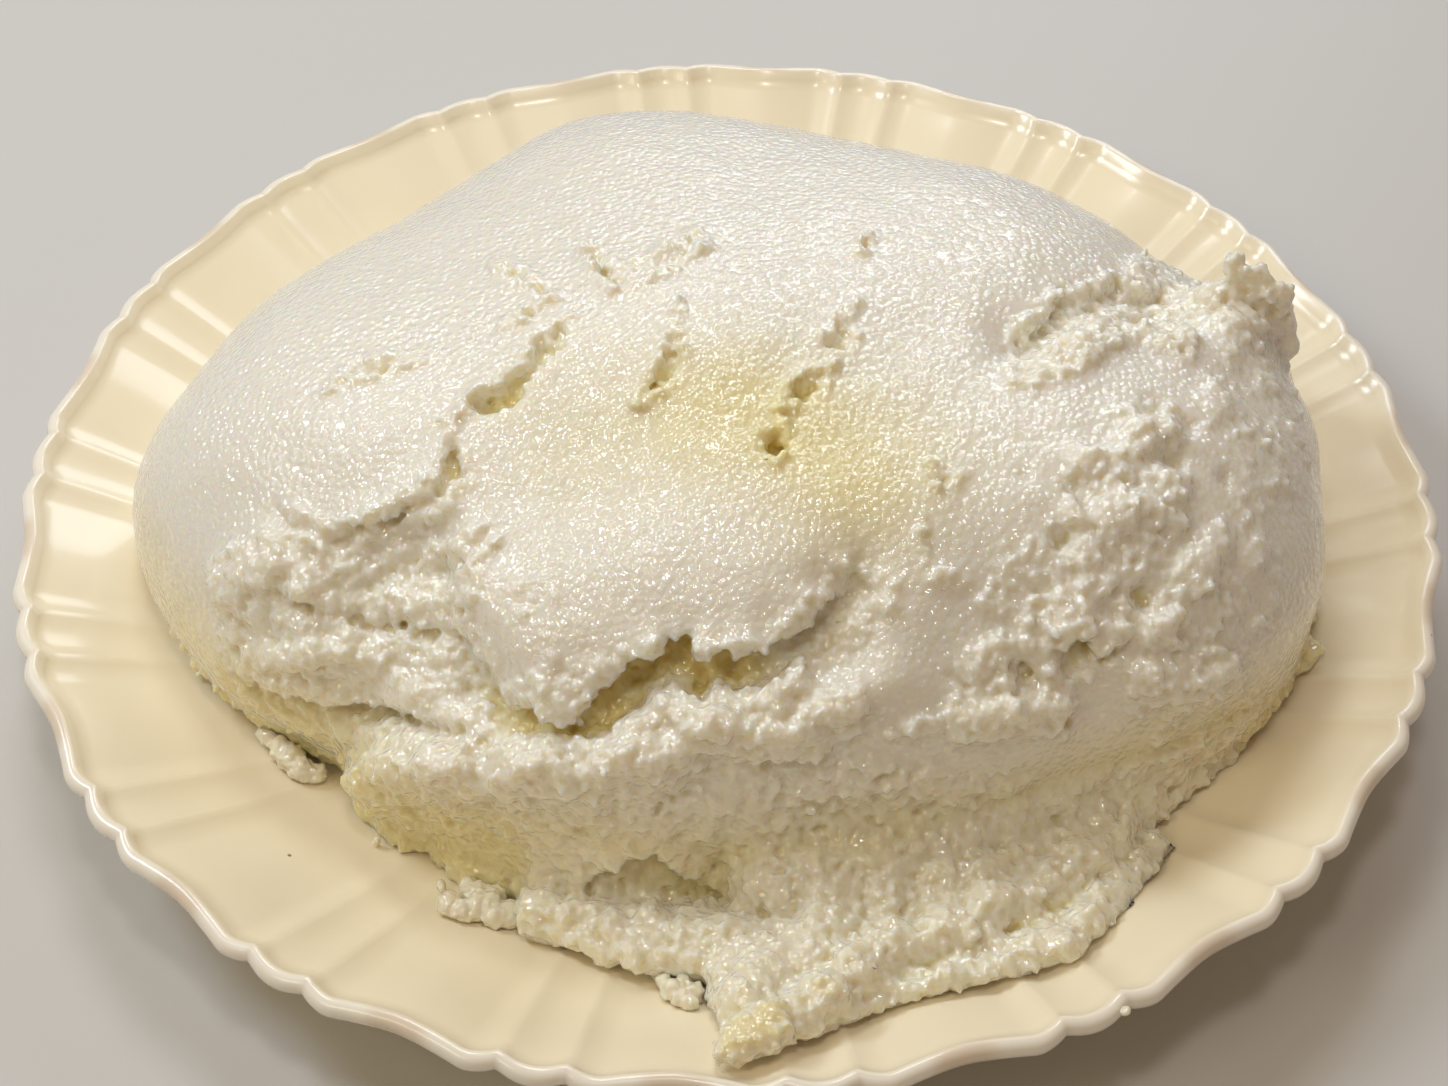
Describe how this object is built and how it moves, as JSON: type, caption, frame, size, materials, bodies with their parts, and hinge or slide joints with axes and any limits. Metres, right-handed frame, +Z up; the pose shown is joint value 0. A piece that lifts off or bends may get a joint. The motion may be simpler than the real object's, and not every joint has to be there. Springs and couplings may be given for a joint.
{
  "type": "ugali on a plate",
  "caption": "Torn mound of stiff white maize porridge with fallen scraps, served on a round cream plate with a fluted rim.",
  "frame": {"origin": "centre of the plate's foot, on the table it stands on", "axes": "+Z up; the torn front of the mound faces -Y and its long axis lies along X"},
  "size_m": [0.2634, 0.2634, 0.0786],
  "materials": {
    "cream_glaze": "glossy cream glaze, paler on the rolled lip",
    "ugali": "moist, fine-grained white skin, granular and slightly yellow where torn"
  },
  "bodies": {
    "root": {"plate": "cream_glaze", "ugali_mound": "ugali", "fallen_chunk": "ugali", "fallen_flake": "ugali", "fallen_crumb": "ugali"}
  },
  "joints": []
}
